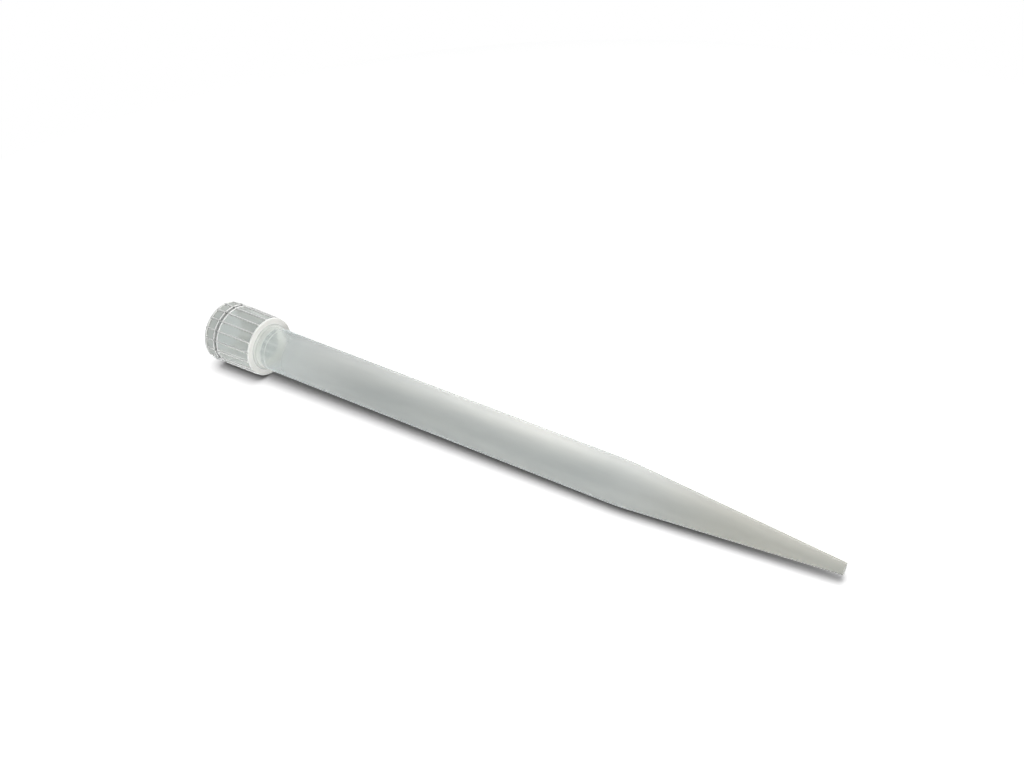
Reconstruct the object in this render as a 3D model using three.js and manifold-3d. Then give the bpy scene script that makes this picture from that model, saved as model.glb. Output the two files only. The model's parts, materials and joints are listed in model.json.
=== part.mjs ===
// Pipette tip: one injection-moulded piece, lying at rest with its outlet towards +X. Millimetres, +Z up.
import * as THREE from 'three';
import { mergeVertices } from 'three/addons/utils/BufferGeometryUtils.js';
import Module from 'manifold-3d';

// Lengths along the axis, from the mouth to the outlet
const collarLength = 13.9;
const tubeLength = 93.1;
const noseLength = 43;

// Tube and nose
const tubeRootDiameter = 10.2;
const tubeRootWall = 0.9;
const shoulderDiameter = 9.26;
const shoulderWall = 0.78;
const shoulderRadius = 60;
const outletBoreDiameter = 1.25;
const outletWall = 0.56;
const outletEdge = 0.12;

// Collar, measured between its ribs
const flangeStep = 1.75;
const collarFlare = 0.5;
const mouthEdge = 0.15;
const flangeEdge = 0.12;
const rootFillet = 0.6;

// Raised rim at each end of the collar
const rimLength = 0.35;
const rimHeight = 0.15;

// Socket that the pipette's nozzle pushes into
const socketMouthDiameter = 10.1;
const socketLeadIn = 0.4;
const neckWall = 0.6;
const socketPastFlange = 1.4;
const seatStep = 0.15;
const seatLength = 1.2;

// Ribs along the collar
const ribCount = 18;
const ribWidth = 0.36;
const ribHeight = 0.24;
const ribInset = 0.05;
const ribChamfer = 0.2;
const ribRoot = 0.7;

// Double ring round the collar: two lips with a valley between them
const ringDistance = 2.6;
const lipWidth = 0.36;
const lipHeight = 0.15;
const valleyWidth = 0.73;
const valleyDepth = 0.25;

// Facets round the axis and along arcs. The number for each rib is even, so that a rib sits mid-facet.
const facetsPerRib = 4;
const filletSteps = 3;
const shoulderSteps = 5;

const facetCount = ribCount * facetsPerRib;
const facetAngle = (2 * Math.PI) / facetCount;
const ribPitch = (2 * Math.PI) / ribCount;

const shoulderAt = collarLength + tubeLength;
const outletAt = shoulderAt + noseLength;
const flangeRadius = tubeRootDiameter / 2 + flangeStep;
const mouthRadius = flangeRadius + collarFlare / 2;
const outletRadius = outletBoreDiameter / 2 + outletWall;

// Radius of the collar's surface between the ribs, at a distance from the mouth
function collarRadius(distance) {
  return mouthRadius + ((flangeRadius - mouthRadius) * distance) / collarLength;
}

// The points of an arc that joins two straight lines and touches both, at the corner where they meet
function roundedCorner(before, corner, after, radius, steps) {
  const inward = before.clone().sub(corner).normalize();
  const outward = after.clone().sub(corner).normalize();
  const halfAngle = Math.acos(inward.dot(outward)) / 2;
  const reach = radius / Math.tan(halfAngle);
  const bisector = inward.clone().add(outward).normalize();
  const centre = bisector.multiplyScalar(radius / Math.sin(halfAngle)).add(corner);
  const from = inward.multiplyScalar(reach).add(corner).sub(centre).angle();
  const to = outward.multiplyScalar(reach).add(corner).sub(centre).angle();
  let turn = to - from;
  if (turn > Math.PI) turn -= 2 * Math.PI;
  if (turn < -Math.PI) turn += 2 * Math.PI;
  const points = [];
  for (let i = 0; i <= steps; i += 1) {
    const angle = from + (turn * i) / steps;
    const spoke = new THREE.Vector2(Math.cos(angle), Math.sin(angle));
    points.push(spoke.multiplyScalar(radius).add(centre));
  }
  return points;
}

// Profile points hold the radius in x and the distance from the mouth in y
const point = (distance, radius) => new THREE.Vector2(radius, distance);

function ringProfile() {
  const lip = (start) => [
    point(start, collarRadius(start)),
    point(start + lipWidth / 4, collarRadius(start) + lipHeight),
    point(start + (lipWidth * 3) / 4, collarRadius(start) + lipHeight),
  ];
  const valleyStart = ringDistance + lipWidth;
  const secondLip = valleyStart + valleyWidth;
  const end = secondLip + lipWidth;
  return [
    ...lip(ringDistance),
    point(valleyStart, collarRadius(valleyStart) - valleyDepth),
    point(secondLip, collarRadius(secondLip) - valleyDepth),
    ...lip(secondLip).slice(1),
    point(end, collarRadius(end)),
  ];
}

function outsideProfile() {
  const root = point(collarLength, tubeRootDiameter / 2);
  const shoulder = point(shoulderAt, shoulderDiameter / 2);
  const outlet = point(outletAt, outletRadius);
  const rim = (distance) => point(distance, collarRadius(distance) + rimHeight);
  const mouthRimFoot = rimLength + rimHeight;
  const flangeRimFoot = collarLength - mouthRimFoot;
  const flangeFaceEdge = point(collarLength, flangeRadius + rimHeight - flangeEdge);
  return [
    point(0, mouthRadius + rimHeight - mouthEdge),
    rim(mouthEdge),
    rim(rimLength),
    point(mouthRimFoot, collarRadius(mouthRimFoot)),
    ...ringProfile(),
    point(flangeRimFoot, collarRadius(flangeRimFoot)),
    rim(collarLength - rimLength),
    rim(collarLength - flangeEdge),
    flangeFaceEdge,
    ...roundedCorner(flangeFaceEdge, root, shoulder, rootFillet, filletSteps),
    ...roundedCorner(root, shoulder, outlet, shoulderRadius, shoulderSteps),
    point(outletAt - outletEdge, outletRadius),
    point(outletAt, outletRadius - outletEdge),
  ];
}

function boreProfile() {
  const socketEnd = collarLength + socketPastFlange;
  const socketEndRadius = tubeRootDiameter / 2 - neckWall;
  const seatRadius = socketEndRadius - seatStep;
  const boreStart = socketEnd + seatLength;
  const boreRadius = tubeRootDiameter / 2 - tubeRootWall;
  const start = point(boreStart, boreRadius);
  const shoulder = point(shoulderAt, shoulderDiameter / 2 - shoulderWall);
  const outlet = point(outletAt, outletBoreDiameter / 2);
  return [
    outlet,
    ...roundedCorner(outlet, shoulder, start, shoulderRadius, shoulderSteps),
    start,
    point(boreStart, seatRadius),
    point(socketEnd, seatRadius),
    point(socketEnd, socketEndRadius),
    point(socketLeadIn, socketMouthDiameter / 2),
    point(0, socketMouthDiameter / 2 + socketLeadIn),
  ];
}

const library = await Module();
library.setup();

function toSolid(geometry) {
  geometry.deleteAttribute('normal');
  geometry.deleteAttribute('uv');
  const merged = mergeVertices(geometry);
  return new library.Manifold(new library.Mesh({
    numProp: 3,
    vertProperties: Float32Array.from(merged.attributes.position.array),
    triVerts: Uint32Array.from(merged.index.array),
  }));
}

function toGeometry(solid) {
  const { vertProperties, triVerts } = solid.getMesh();
  const geometry = new THREE.BufferGeometry();
  geometry.setAttribute('position', new THREE.BufferAttribute(vertProperties, 3));
  geometry.setIndex(new THREE.BufferAttribute(triVerts, 1));
  geometry.computeVertexNormals();
  return geometry;
}

// The turned body, with its axis along +X, its mouth at the origin and a facet straight down
function turnedBody() {
  const outside = outsideProfile();
  const profile = [...outside, ...boreProfile(), outside[0]];
  const body = new THREE.LatheGeometry(profile, facetCount, facetAngle / 2);
  body.rotateZ(-Math.PI / 2);
  return toSolid(body);
}

// One rib, straight up from the axis: a strip that follows the collar's taper and is bedded in it
const ribEnd = collarLength - ribInset;
const ribTopStart = ribInset + ribChamfer;
const ribTopEnd = ribEnd - ribChamfer;
const ribTop = (distance) => collarRadius(distance) * Math.cos(facetAngle / 2) + ribHeight;

function rib() {
  const side = new THREE.Shape([
    new THREE.Vector2(ribInset, collarRadius(ribInset) - ribRoot),
    new THREE.Vector2(ribEnd, collarRadius(ribEnd) - ribRoot),
    new THREE.Vector2(ribEnd, collarRadius(ribEnd)),
    new THREE.Vector2(ribTopEnd, ribTop(ribTopEnd)),
    new THREE.Vector2(ribTopStart, ribTop(ribTopStart)),
    new THREE.Vector2(ribInset, collarRadius(ribInset)),
  ]);
  const strip = new THREE.ExtrudeGeometry(side, { depth: ribWidth, bevelEnabled: false });
  strip.translate(0, 0, -ribWidth / 2);
  strip.rotateX(Math.PI / 2);
  return strip;
}

// The ribs stand half a pitch to each side of straight down, so the tip lies on two of them
function ribbedBody() {
  let solid = turnedBody();
  for (let i = 0; i < ribCount; i += 1) {
    solid = solid.add(toSolid(rib().rotateX(ribPitch * (i + 0.5))));
  }
  return solid;
}

// Places on the underside that may touch the surface: distance from the mouth, and depth below the axis
function underside() {
  const turned = outsideProfile().map((p) => ({ along: p.y, below: p.x * Math.cos(facetAngle / 2) }));
  const ribbed = [ribTopStart, ribTopEnd].map((along) => ({
    along,
    below: ribTop(along) * Math.cos(ribPitch / 2) + (ribWidth / 2) * Math.sin(ribPitch / 2),
  }));
  return [...turned, ...ribbed];
}

// How far the axis dips towards the outlet at rest: the tip lies on the two places that span its middle
function restingTilt() {
  const middle = collarLength + tubeLength / 2;
  const places = underside();
  let deepest = 0;
  let slope = 0;
  for (const near of places.filter((p) => p.along < middle)) {
    for (const far of places.filter((p) => p.along > middle)) {
      const fall = (near.below - far.below) / (far.along - near.along);
      const depth = near.below - fall * (middle - near.along);
      if (depth > deepest) {
        deepest = depth;
        slope = fall;
      }
    }
  }
  return Math.atan(slope);
}

const naturalPolypropylene = new THREE.MeshStandardMaterial({
  color: 0xc9cfcb,
  roughness: 0.42,
  metalness: 0,
});

const tip = new THREE.Mesh(toGeometry(ribbedBody()), naturalPolypropylene);
tip.name = 'pipette_tip';
tip.rotation.y = restingTilt();

// The origin is the middle of the surface that the tip lies on
tip.updateMatrixWorld();
const extent = new THREE.Box3().setFromObject(tip, true);
const middle = extent.getCenter(new THREE.Vector3());
tip.position.set(-middle.x, -middle.y, -extent.min.z);

const part = new THREE.Group();
part.add(tip);

export default part;
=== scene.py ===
import json
from math import atan2, cos, pi, radians, sin, sqrt, tan

import bpy
from mathutils import Matrix, Vector

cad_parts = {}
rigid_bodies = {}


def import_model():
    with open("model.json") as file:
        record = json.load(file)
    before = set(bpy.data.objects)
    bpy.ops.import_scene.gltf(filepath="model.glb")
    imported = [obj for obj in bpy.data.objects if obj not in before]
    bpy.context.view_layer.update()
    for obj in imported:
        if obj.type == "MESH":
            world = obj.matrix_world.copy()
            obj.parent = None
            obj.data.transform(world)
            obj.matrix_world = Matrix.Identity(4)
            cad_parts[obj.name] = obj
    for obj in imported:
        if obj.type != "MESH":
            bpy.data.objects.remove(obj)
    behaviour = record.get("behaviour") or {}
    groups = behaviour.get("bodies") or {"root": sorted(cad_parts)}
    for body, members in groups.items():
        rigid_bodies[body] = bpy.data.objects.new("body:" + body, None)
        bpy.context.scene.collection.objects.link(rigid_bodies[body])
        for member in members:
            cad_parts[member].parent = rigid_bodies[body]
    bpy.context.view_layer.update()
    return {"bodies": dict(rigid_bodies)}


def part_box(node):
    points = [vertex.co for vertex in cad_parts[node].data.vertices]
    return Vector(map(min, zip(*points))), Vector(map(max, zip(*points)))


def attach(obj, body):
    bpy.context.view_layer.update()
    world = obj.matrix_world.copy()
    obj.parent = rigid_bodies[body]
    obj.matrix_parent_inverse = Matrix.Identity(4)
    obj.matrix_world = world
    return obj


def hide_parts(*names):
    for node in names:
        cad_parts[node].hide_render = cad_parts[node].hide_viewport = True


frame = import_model()
print("stage 1: frame loaded")

mm = 0.001
nodeName = "pipette_tip"
bodyName = next(iter(frame["bodies"]))

# Millimetres. Collar, tube and nose follow each other along the axis, and socketDepth and frostedFrom are
# counted from the mouth.
tipSizes = {
    "collarLength": 13.9,
    "tubeLength": 93.1,
    "noseLength": 43.0,
    "mouthRadius": 7.1,
    "flangeRadius": 6.85,
    "mouthEdge": 0.15,
    "flangeEdge": 0.12,
    "rootFillet": 0.6,
    "tubeRootRadius": 5.1,
    "shoulderRadius": 4.63,
    "shoulderBend": 60.0,
    "outletRadius": 1.185,
    "outletEdge": 0.12,
    "socketMouthRadius": 5.05,
    "socketLeadIn": 0.4,
    "socketLeadEdge": 0.12,
    "socketDepth": 15.3,
    "socketEndRadius": 4.5,
    "frostedFrom": 12.8,
    "seatRadius": 4.35,
    "seatLength": 1.2,
    "tubeRootBore": 4.2,
    "shoulderBore": 3.85,
    "outletBore": 0.625,
    "stepEdge": 0.06,
    "restTilt": 1.48553,   # degrees that the axis dips towards the outlet
    "sharpFrom": 40,   # degrees between faces above which an edge is drawn crisp
}
rimSizes = {"length": 0.35, "height": 0.15}
ringSizes = {
    "distance": 2.6,   # from the mouth to the first lip
    "lipWidth": 0.36,
    "lipHeight": 0.15,
    "valleyWidth": 0.73,
    "valleyDepth": 0.25,
    "fullness": 4,   # 2 makes a lip or the valley half an ellipse, more makes it squarer
}
ribSizes = {
    "count": 18,
    "width": 0.36,
    "height": 0.24,
    "inset": 0.05,
    "chamfer": 0.2,
    "fullness": 3,
    "stations": (0, 0.36, 0.66, 0.86, 0.96, 1, 1.18),   # lines of points from its middle out, its side at 1
}
# How many steps each curve or stretch is drawn with
tipSteps = {
    "edge": 5,
    "smallEdge": 3,
    "rim": 5,
    "mouthBand": 5,
    "ring": 10,
    "panel": 10,
    "flangeFace": 4,
    "rootFillet": 8,
    "tube": 24,
    "shoulder": 14,
    "nose": 14,
    "socket": 10,
    "frosted": 3,
    "betweenRibs": 7,
}

shoulderAt = tipSizes["collarLength"] + tipSizes["tubeLength"]
outletAt = shoulderAt + tipSizes["noseLength"]
rimFoot = rimSizes["length"] + rimSizes["height"]
zoneNames = (
    "collarPanel", "mouthBand", "mouthRimHighlight", "collarRibHighlight", "ringLipHighlight", "ringValleyShade", "flangeRim", "flangeFace",
    "rootFillet", "satinTube", "socketWall", "frostedSocket", "seatStep", "boreWall", "mouthFace",
)
zone = {name: i for i, name in enumerate(zoneNames)}
ribbedZones = ("mouthBand", "ringLipHighlight", "collarPanel")


def collarRadius(along):
    share = along / tipSizes["collarLength"]
    return tipSizes["mouthRadius"] + (tipSizes["flangeRadius"] - tipSizes["mouthRadius"]) * share


# Points of the arc that rounds the corner between two straight lines
def roundedCorner(before, corner, after, radius, steps):
    before, corner, after = Vector(before), Vector(corner), Vector(after)
    inward, outward = (before - corner).normalized(), (after - corner).normalized()
    halfAngle = inward.angle(outward) / 2
    reach = radius / tan(halfAngle)
    centre = corner + (inward + outward).normalized() * radius / sin(halfAngle)
    start, end = corner + inward * reach - centre, corner + outward * reach - centre
    fromAngle = atan2(start.y, start.x)
    turn = (atan2(end.y, end.x) - fromAngle + pi) % (2 * pi) - pi
    angles = [fromAngle + turn * i / steps for i in range(steps + 1)]
    return [(centre.x + radius * cos(a), centre.y + radius * sin(a)) for a in angles]


def straight(start, end, steps):
    return [tuple(a + (b - a) * k / steps for a, b in zip(start, end)) for k in range(steps + 1)]


# Even distances from start up to the last one before end
def spaced(start, end, steps):
    return [start + (end - start) * k / steps for k in range(steps)]


# Rounded hump, 1 over its middle and 0 at both of its ends
def hump(u):
    return sqrt(max(0, 1 - abs(2 * u - 1) ** ringSizes["fullness"]))


# Bands of the double ring: start, width, height and zone of each. The lips' zone paints a highlight on them
# and the valley's zone paints shade.
def ringBands():
    lip, valley, start = ringSizes["lipWidth"], ringSizes["valleyWidth"], ringSizes["distance"]
    height, depth = ringSizes["lipHeight"], ringSizes["valleyDepth"]
    return (
        (start, lip, height, "ringLipHighlight"),
        (start + lip, valley, -depth, "ringValleyShade"),
        (start + lip + valley, lip, height, "ringLipHighlight"),
    )


# Radius of the collar between its ribs, with the end rims and the double ring
def panelRadius(along):
    radius = collarRadius(along)
    fromEnd = min(along, tipSizes["collarLength"] - along)
    if fromEnd < rimFoot:
        fall = max(0, fromEnd - rimSizes["length"]) / rimSizes["height"]
        return radius + rimSizes["height"] * (0.5 + 0.5 * cos(pi * fall))
    for start, width, height, _ in ringBands():
        if start < along < start + width:
            return radius + height * hump((along - start) / width)
    return radius


# Distances along the collar that get a ring of points, each with the zone of the band that follows
def collarStops(start):
    rimEnd, length, steps = rimSizes["length"], tipSizes["collarLength"], tipSteps
    panelStart = ringSizes["distance"] + 2 * ringSizes["lipWidth"] + ringSizes["valleyWidth"]
    panelEnd, flangeRimStart = length - rimFoot, length - rimEnd
    stops = [(start, "mouthRimHighlight")]
    stops += [(x, "mouthRimHighlight") for x in spaced(rimEnd, rimFoot, steps["rim"])]
    stops += [(x, "mouthBand") for x in spaced(rimFoot, ringSizes["distance"], steps["mouthBand"])]
    for first, width, _, name in ringBands():
        turns = spaced(0, pi, steps["ring"])
        stops += [(first + width * (0.5 - 0.5 * cos(turn)), name) for turn in turns]
    stops += [(x, "collarPanel") for x in spaced(panelStart, panelEnd, steps["panel"])]
    stops += [(x, "flangeRim") for x in spaced(panelEnd, flangeRimStart, steps["rim"])]
    return stops + [(flangeRimStart, "flangeRim")]


def inZone(points, name):
    return [(*p, name) for p in points]


# Profile points are (distance from the mouth, radius, zone of the band that follows)
def outsideProfile():
    s, steps = tipSizes, tipSteps
    mouthCorner = (0, s["mouthRadius"] + rimSizes["height"])
    flangeCorner = (s["collarLength"], s["flangeRadius"] + rimSizes["height"])
    root, shoulder = (s["collarLength"], s["tubeRootRadius"]), (shoulderAt, s["shoulderRadius"])
    outlet = (outletAt, s["outletRadius"])
    mouthRound = roundedCorner((0, 0), mouthCorner, flangeCorner, s["mouthEdge"], steps["edge"])
    flangeRound = roundedCorner(mouthCorner, flangeCorner, root, s["flangeEdge"], steps["edge"])
    rootRound = roundedCorner(flangeCorner, root, shoulder, s["rootFillet"], steps["rootFillet"])
    shoulderRound = roundedCorner(root, shoulder, outlet, s["shoulderBend"], steps["shoulder"])
    outletRound = roundedCorner(shoulder, outlet, (outletAt, 0), s["outletEdge"], steps["edge"])
    flangeFace = straight(flangeRound[-1], rootRound[0], steps["flangeFace"])
    tube = straight(rootRound[-1], shoulderRound[0], steps["tube"])
    nose = straight(shoulderRound[-1], outletRound[0], steps["nose"])
    collar = [(along, panelRadius(along), name) for along, name in collarStops(mouthRound[-1][0])]
    return (
        inZone(mouthRound[:-1], "mouthFace")
        + collar
        + inZone(flangeRound[:-1], "flangeRim")
        + inZone(flangeFace, "flangeFace")
        + inZone(rootRound[1:-1], "rootFillet")
        + inZone(tube[:-1] + shoulderRound + nose[1:-1] + outletRound, "satinTube")
    )


# The bore from the outlet up, the seat below the socket, and the socket out to the mouth
def boreProfile():
    s, steps = tipSizes, tipSteps
    boreStart = s["socketDepth"] + s["seatLength"]
    outlet, shoulder = (outletAt, s["outletBore"]), (shoulderAt, s["shoulderBore"])
    bore, seatEdge = (boreStart, s["tubeRootBore"]), (boreStart, s["seatRadius"])
    seatFoot, socketEnd = (s["socketDepth"], s["seatRadius"]), (s["socketDepth"], s["socketEndRadius"])
    socketMouth, leadIn = (0, s["socketMouthRadius"]), (s["socketLeadIn"], s["socketMouthRadius"])
    leadEdge = (0, s["socketMouthRadius"] + s["socketLeadIn"])

    def smallEdge(before, corner, after):
        return roundedCorner(before, corner, after, s["stepEdge"], steps["smallEdge"])

    bend = roundedCorner(outlet, shoulder, bore, s["shoulderBend"], steps["shoulder"])
    nose, tube = straight(outlet, bend[0], steps["nose"]), straight(bend[-1], bore, steps["tube"])
    seatRound, socketRound = smallEdge(bore, seatEdge, seatFoot), smallEdge(seatFoot, socketEnd, socketMouth)
    lead = roundedCorner(socketEnd, leadIn, leadEdge, s["socketLeadEdge"], steps["smallEdge"])
    share = (s["frostedFrom"] - socketRound[-1][0]) / (lead[0][0] - socketRound[-1][0])
    frosted = tuple(a + (b - a) * share for a, b in zip(socketRound[-1], lead[0]))
    return (
        inZone(nose[:-1] + bend + tube[1:-1], "boreWall")
        + inZone(smallEdge(bend[-1], bore, seatEdge) + seatRound[:-1], "seatStep")
        + inZone(seatRound[-1:], "boreWall")
        + inZone(smallEdge(seatEdge, seatFoot, socketEnd) + socketRound[:-1], "seatStep")
        + inZone(straight(socketRound[-1], frosted, steps["frosted"])[:-1], "frostedSocket")
        + inZone(straight(frosted, lead[0], steps["socket"])[:-1] + lead, "socketWall")
        + inZone(smallEdge(leadIn, leadEdge, (0, s["mouthRadius"])), "mouthFace")
    )


# Angles round the axis, each with its place across the rib: the rib's section, then the panel to the next
def angleStations():
    pitch = 2 * pi / ribSizes["count"]
    halfWidth = ribSizes["width"] / 2 / tipSizes["flangeRadius"]
    oneSide, steps = ribSizes["stations"], tipSteps["betweenRibs"]
    across = [-x for x in oneSide[:0:-1]] + list(oneSide)
    stations = []
    for i in range(ribSizes["count"]):
        middle = pitch * (i + 0.5)
        stations += [(middle + x * halfWidth, x) for x in across]
        panel = spaced(middle + across[-1] * halfWidth, middle + pitch + across[0] * halfWidth, steps)
        stations += [(angle, across[-1]) for angle in panel[1:]]
    return stations


# Radius of a rib at a distance from the mouth, across its width from -1 to 1, and 0 where there is none
def ribRadius(along, across):
    fromEnd = min(along, tipSizes["collarLength"] - along) - ribSizes["inset"]
    if abs(across) > 1 or fromEnd < 0:
        return 0
    rise = min(1, fromEnd / ribSizes["chamfer"])
    section = sqrt(1 - abs(across) ** ribSizes["fullness"])
    return collarRadius(along) + ribSizes["height"] * section * sin(pi / 2 * rise)


# Tilts the mesh to its rest and moves it to where the frame has the tip, on the same surface
def settle(mesh):
    mesh.transform(Matrix.Rotation(radians(tipSizes["restTilt"]), 4, "Y"))
    low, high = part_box(nodeName)
    corners = [v.co for v in mesh.vertices]
    meshLow = Vector([min(c[axis] for c in corners) for axis in range(3)])
    meshHigh = Vector([max(c[axis] for c in corners) for axis in range(3)])
    shift = (low + high) / 2 - (meshLow + meshHigh) / 2
    shift.z = low.z - meshLow.z
    mesh.transform(Matrix.Translation(shift))


def buildTip():
    outside, stations = outsideProfile(), angleStations()
    profile, count = outside + boreProfile(), len(stations)
    verts, faces, zones = [], [], []
    for i, (along, radius, name) in enumerate(profile):
        ribbed = i < len(outside)
        ring, nextRing = i * count, (i + 1) % len(profile) * count
        for k, (angle, across) in enumerate(stations):
            r = max(radius, ribRadius(along, across)) if ribbed else radius
            verts.append((along * mm, r * sin(angle) * mm, r * cos(angle) * mm))   # angle 0 is straight up
            after = (k + 1) % count
            faces.append((ring + k, nextRing + k, nextRing + after, ring + after))
            # Faces over a rib take the rib's zone, whose near-white colour is a painted highlight
            onRib = abs(across) <= 1 and abs(stations[after][1]) <= 1 and name in ribbedZones
            zones.append(zone["collarRibHighlight" if onRib else name])
    mesh = bpy.data.meshes.new("tipMesh")
    mesh.from_pydata(verts, [], faces)
    mesh.polygons.foreach_set("material_index", zones)
    settle(mesh)
    mesh.shade_smooth()
    mesh.set_sharp_from_angle(angle=radians(tipSizes["sharpFrom"]))
    piece = bpy.data.objects.new("tip", mesh)
    bpy.context.scene.collection.objects.link(piece)
    return piece


tip = buildTip()
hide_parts(nodeName)
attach(tip, bodyName)
print("stage 2: tip built", len(tip.data.polygons))


# A node with its settings, and each of its inputs linked to a socket or set to a value
def addNode(tree, kind, inputs, **settings):
    node = tree.nodes.new("ShaderNode" + kind)
    for name, value in settings.items():
        setattr(node, name, value)
    for name, value in inputs.items():
        if isinstance(value, bpy.types.NodeSocket):
            tree.links.new(value, node.inputs[name])
        else:
            node.inputs[name].default_value = value
    return node


def mixShader(tree, share, first, second):
    return addNode(tree, "MixShader", {0: share, 1: first, 2: second}).outputs[0]


def mixColour(tree, share, first, second, blend="MIX"):
    inputs = {"Factor": share, "A": first, "B": second}
    return addNode(tree, "Mix", inputs, data_type="RGBA", blend_type=blend).outputs["Result"]


def calc(tree, operation, first, second):
    return addNode(tree, "Math", {0: first, 1: second}, operation=operation).outputs[0]


# Smooth step from one value to another while the source goes through its range
def mapped(tree, source, values, sourceRange):
    inputs = {"Value": source, "From Min": sourceRange[0], "From Max": sourceRange[1]}
    inputs.update({"To Min": values[0], "To Max": values[1]})
    return addNode(tree, "MapRange", inputs, interpolation_type="SMOOTHSTEP").outputs["Result"]


def noise(tree, place, scale, detail):
    return addNode(tree, "TexNoise", {"Vector": place, "Scale": scale, "Detail": detail}).outputs["Fac"]


# True for light that has gone through the tip or been mirrored by it
def pastTip(tree, path):
    return calc(tree, "MAXIMUM", path["Is Transmission Ray"], path["Is Glossy Ray"])


# What the finishes of the plastic share, where one has no value of its own
moulding = {
    "refraction": 1.49,
    "cloudScale": 250,
    "cloudDetail": 3,
    "cloudStretch": (0.2, 1, 1),   # flow marks, drawn out along the tip
    "cloudRange": (0.3, 0.7),
    "grainScale": 1500,
    "grainDetail": 4,
    "bumpStrength": 0.1,
    "bumpDistance": 0.00003,
    "roughnessSpread": (0.9, 1.1),
    "letsIn": 0.95,   # share of the lamps' light that reaches the inside through this surface
    "floorSees": (0.05, 0.05, 0.05),   # keeps the tip's shadow dense, although the plastic is clear
}
# Dark and light are the ends of the colour's variation. Clear is how much light passes without scattering.
# A pair in clear or rough runs along the tip over the ramp, in metres.
finishes = {
    "collarPanel": {
        "dark": (0.6, 0.62, 0.59), "light": (0.66, 0.675, 0.645), "clear": 0.52, "rough": 0.1, "letsIn": 0.7,
    },
    "mouthBand": {
        "dark": (0.54, 0.545, 0.51), "light": (0.62, 0.62, 0.58), "clear": 0.45, "rough": 0.1, "letsIn": 0.8,
    },
    # Painted highlight: the mouth rim's light colour stands in for the light that its rounded edge catches
    "mouthRimHighlight": {"dark": (0.88, 0.89, 0.86), "light": (0.94, 0.94, 0.92), "clear": 0.2, "rough": 0.15},
    # Painted highlight: the ribs' near-white colour stands in for the light that their crests catch
    "collarRibHighlight": {
        "dark": (0.97, 0.975, 0.96), "light": (0.985, 0.985, 0.98), "clear": 0.02, "rough": 0.2,
        "milky": 0.12,
    },
    # Painted highlight: the same near-white colour on the two lips of the double ring
    "ringLipHighlight": {"dark": (0.97, 0.975, 0.96), "light": (0.985, 0.985, 0.98), "clear": 0.02, "rough": 0.2},
    # Painted shade: the dark grey of the valley between the lips stands in for the shade and dark refraction
    # in the groove
    "ringValleyShade": {"dark": (0.34, 0.34, 0.33), "light": (0.42, 0.42, 0.41), "clear": 0.3, "rough": 0.2},
    # Painted highlight: the near-white of the flange's rounded rim stands in for the light that its edge
    # catches and carries through the plastic
    "flangeRim": {"dark": (0.97, 0.98, 0.95), "light": (0.985, 0.985, 0.97), "clear": 0.02, "rough": 0.2},
    "flangeFace": {"dark": (0.82, 0.83, 0.79), "light": (0.87, 0.87, 0.84), "clear": 0.05, "rough": 0.36},
    "rootFillet": {"dark": (0.62, 0.635, 0.61), "light": (0.68, 0.69, 0.67), "clear": 0.5, "rough": 0.15},
    "satinTube": {
        "dark": (0.63, 0.645, 0.64), "light": (0.7, 0.71, 0.7), "letsIn": 0.9,
        "clear": (0.88, 0.5), "rough": (0.1, 0.24), "ramp": (-0.0575, -0.048),
        "noseTint": (1.02, 0.98, 0.92), "noseFrom": (0.03, 0.058),
    },
    "socketWall": {"dark": (0.84, 0.87, 0.88), "light": (0.9, 0.92, 0.92), "clear": 0.97, "rough": 0.08},
    "frostedSocket": {
        "dark": (0.88, 0.9, 0.86), "light": (0.92, 0.93, 0.9), "clear": 0.1, "rough": 0.2,
        "milky": 0.6, "letsIn": 0.65,
    },
    "seatStep": {
        "dark": (0.95, 0.96, 0.95), "light": (0.98, 0.98, 0.97), "clear": 0.1, "rough": 0.2,
        "milky": 0.5, "letsIn": 0.65,
    },
    "boreWall": {
        "dark": (0.9, 0.92, 0.91), "light": (0.94, 0.95, 0.94), "clear": 0.9, "rough": 0.2, "letsIn": 0.85,
    },
    "mouthFace": {"dark": (0.8, 0.81, 0.8), "light": (0.86, 0.87, 0.86), "clear": 0.6, "rough": 0.15},
}


def newMaterial(name):
    material = bpy.data.materials.new(name)
    material.use_nodes = True
    material.node_tree.nodes.clear()
    return material, material.node_tree


# Shader of the plastic itself: clouded and grained, refracting where it is clear, milky where it is frosted
def plasticBody(tree, v):
    place = addNode(tree, "TexCoord", {}).outputs["Object"]
    along = addNode(tree, "SeparateXYZ", {0: place}).outputs["X"]
    stretched = addNode(tree, "Mapping", {"Vector": place, "Scale": v["cloudStretch"]}).outputs["Vector"]
    cloud = noise(tree, stretched, v["cloudScale"], v["cloudDetail"])
    grain = noise(tree, place, v["grainScale"], v["grainDetail"])
    bump = {"Strength": v["bumpStrength"], "Distance": v["bumpDistance"], "Height": grain}
    colour = mixColour(tree, mapped(tree, cloud, (0, 1), v["cloudRange"]), (*v["dark"], 1), (*v["light"], 1))
    if "noseTint" in v:
        noseShare = mapped(tree, along, (0, 1), v["noseFrom"])
        colour = mixColour(tree, noseShare, colour, (*v["noseTint"], 1), "MULTIPLY")
    clear, rough = v["clear"], v["rough"]
    if "ramp" in v:
        clear, rough = mapped(tree, along, clear, v["ramp"]), mapped(tree, along, rough, v["ramp"])
    uneven = mapped(tree, cloud, v["roughnessSpread"], v["cloudRange"])
    body = addNode(tree, "BsdfPrincipled", {
        "Base Color": colour,
        "Roughness": calc(tree, "MULTIPLY", rough, uneven),
        "Transmission Weight": clear,
        "IOR": v["refraction"],
        "Normal": addNode(tree, "Bump", bump).outputs["Normal"],
    }).outputs[0]
    if "milky" not in v:
        return body
    milk = addNode(tree, "BsdfTranslucent", {"Color": colour}).outputs[0]
    return mixShader(tree, v["milky"], body, milk)


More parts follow.
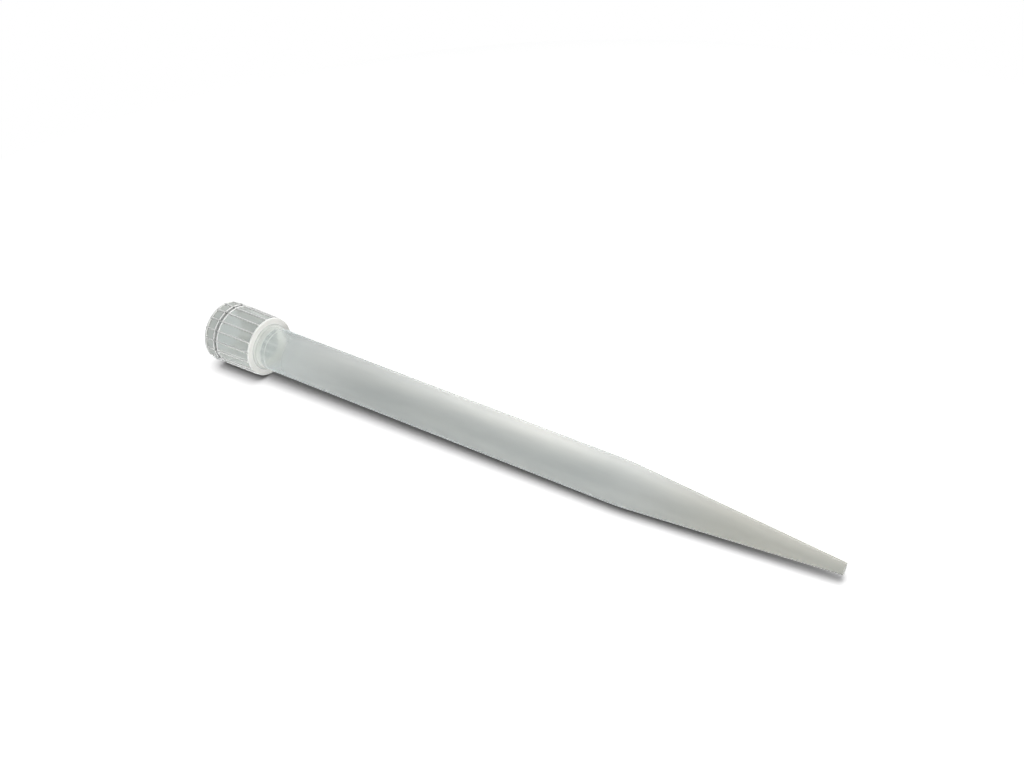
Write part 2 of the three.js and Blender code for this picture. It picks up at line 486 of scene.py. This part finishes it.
# A diffuse ray that comes from the floor meets a dark surface, which keeps the tip's shadow dense. A shadow
# ray from inside the plastic passes out to the lamps, which lights the inside.
def polypropylene(name, v):
    material, tree = newMaterial(name)
    path = addNode(tree, "LightPath", {}).outputs
    outside = calc(tree, "LESS_THAN", path["Transmission Depth"], 0.5)
    inside = calc(tree, "SUBTRACT", 1, outside)
    fromFloor = calc(tree, "MULTIPLY", path["Is Diffuse Ray"], outside)
    lampInside = calc(tree, "MULTIPLY", path["Is Shadow Ray"], inside)
    letThrough = calc(tree, "MULTIPLY", lampInside, v["letsIn"])
    dense = addNode(tree, "BsdfDiffuse", {"Color": (*v["floorSees"], 1)}).outputs[0]
    letPast = addNode(tree, "BsdfTransparent", {}).outputs[0]
    surface = mixShader(tree, fromFloor, plasticBody(tree, v), dense)
    addNode(tree, "OutputMaterial", {"Surface": mixShader(tree, letThrough, surface, letPast)})
    return material


for name in zoneNames:
    tip.data.materials.append(polypropylene(name, {**moulding, **finishes[name]}))
print("stage 3: finishes made")

studio = {
    "floorRadius": 0.24,
    "floorSides": 96,
    "floorColour": (0.9, 0.9, 0.9),
    "floorSeen": (4.0, 4.0, 4.0),   # white to the camera under these lamps, with the shadow kept
    "floorThrough": 0.78,   # share of the glow that shows past the tip, in place of the floor
    "throughColour": (0.92, 1.0, 1.0),
    "skyThrough": 0.64,
    "skySeen": (1, 1, 1),
    "worldColour": (1, 1, 1),
    "worldStrength": 0.082,
}


def buildFloor():
    radius, sides = studio["floorRadius"], studio["floorSides"]
    mesh = bpy.data.meshes.new("floorMesh")
    turns = [2 * pi * k / sides for k in range(sides)]
    mesh.from_pydata([(radius * cos(a), radius * sin(a), 0) for a in turns], [], [tuple(range(sides))])
    floor = bpy.data.objects.new("floor", mesh)
    bpy.context.scene.collection.objects.link(floor)
    material, tree = newMaterial("floorPaper")
    path = addNode(tree, "LightPath", {}).outputs
    paper = addNode(tree, "BsdfDiffuse", {"Color": (*studio["floorColour"], 1)}).outputs[0]
    seen = addNode(tree, "BsdfDiffuse", {"Color": (*studio["floorSeen"], 1)}).outputs[0]
    glow = addNode(tree, "Emission", {"Color": (*studio["throughColour"], 1), "Strength": 1}).outputs[0]
    surface = mixShader(tree, path["Is Camera Ray"], paper, seen)
    through = calc(tree, "MULTIPLY", pastTip(tree, path), studio["floorThrough"])
    addNode(tree, "OutputMaterial", {"Surface": mixShader(tree, through, surface, glow)})
    mesh.materials.append(material)


def background(tree, colour, strength):
    return addNode(tree, "Background", {"Color": (*colour, 1), "Strength": strength}).outputs[0]


def buildWorld():
    world = bpy.data.worlds.new("studio")
    bpy.context.scene.world = world
    world.use_nodes = True
    tree = world.node_tree
    tree.nodes.clear()
    path = addNode(tree, "LightPath", {}).outputs
    ambient = background(tree, studio["worldColour"], studio["worldStrength"])
    behind = background(tree, studio["throughColour"], studio["skyThrough"])
    seen = background(tree, studio["skySeen"], 1)
    surface = mixShader(tree, pastTip(tree, path), ambient, behind)
    addNode(tree, "OutputWorld", {"Surface": mixShader(tree, path["Is Camera Ray"], surface, seen)})


# Metres, watts and degrees. The lamps key and overhead light the floor too, and cast the tip's shadow on it.
plainLamp = {
    "size": (0.3, 0.3), "aim": (0, 0, 0.005), "colour": (1, 1, 1), "spread": 180,
    "glossy": False, "onlyTip": True,
}
lamps = {
    "key": {"power": 0.43, "place": (0.07, -0.296, 0.639), "onlyTip": False},
    "overhead": {"size": (0.4, 0.4), "power": 0.873, "place": (0.06, -0.061, 0.702), "onlyTip": False},
    "behind": {"power": 3.6, "place": (0, 0.658, 0.244)},
    "behindRight": {"power": 1.2, "place": (0.35, 0.35, 0.5)},
    "right": {"power": 2.2, "place": (0.67, -0.12, 0.09)},
    "frontRight": {"power": 0.8, "place": (0.525, -0.44, 0.151), "glossy": True},
    "near": {
        "size": (0.06, 0.03), "power": 0.0165, "place": (0.006, 0.039, 0.0505), "aim": (0.006, 0, 0.005),
        "colour": (1, 0.94, 0.87), "spread": 115,
    },
    "nearFlange": {
        "size": (0.03, 0.03), "power": 0.0021, "place": (-0.02, -0.056, 0.03), "aim": (-0.064, -0.004, -0.01),
        "spread": 32,
    },
}


def addLamp(name, v, litPieces):
    data = bpy.data.lights.new(name, "AREA")
    data.shape = "RECTANGLE"
    data.size, data.size_y = v["size"]
    data.energy = v["power"]
    data.color = v["colour"]
    data.spread = radians(v["spread"])
    lamp = bpy.data.objects.new(name, data)
    lamp.location = v["place"]
    lamp.rotation_euler = (Vector(v["aim"]) - lamp.location).to_track_quat("-Z", "Y").to_euler()
    bpy.context.scene.collection.objects.link(lamp)
    lamp.visible_camera = lamp.visible_transmission = False
    lamp.visible_glossy = v["glossy"]
    if v["onlyTip"]:
        lamp.light_linking.receiver_collection = litPieces


def buildLamps():
    litPieces = bpy.data.collections.new("litPieces")
    litPieces.objects.link(tip)
    for name, values in lamps.items():
        addLamp(name, {**plainLamp, **values}, litPieces)


# Millimetres and degrees: heading anticlockwise from +X, pitch below level, roll clockwise from behind
viewpoint = {
    "place": (97.0124, -123.8449, 141.4801),
    "heading": 125.829,
    "pitch": 38.3701,
    "roll": 5.6692,
    "lens": 35.15625,
    "sensor": 36,
    "clipStart": 5,
}


def buildCamera():
    data = bpy.data.cameras.new("camera")
    data.sensor_width = viewpoint["sensor"]
    data.lens = viewpoint["lens"]
    data.clip_start = viewpoint["clipStart"] * mm
    camera = bpy.data.objects.new("camera", data)
    turn = Matrix.Rotation(radians(viewpoint["heading"] - 90), 4, "Z")
    lean = Matrix.Rotation(radians(90 - viewpoint["pitch"]), 4, "X")
    roll = Matrix.Rotation(radians(-viewpoint["roll"]), 4, "Z")
    camera.matrix_world = Matrix.Translation(Vector(viewpoint["place"]) * mm) @ turn @ lean @ roll
    bpy.context.scene.collection.objects.link(camera)
    bpy.context.scene.camera = camera


buildFloor()
buildWorld()
buildLamps()
buildCamera()
bpy.context.scene.view_settings.view_transform = "Standard"
print("stage 4: studio ready")
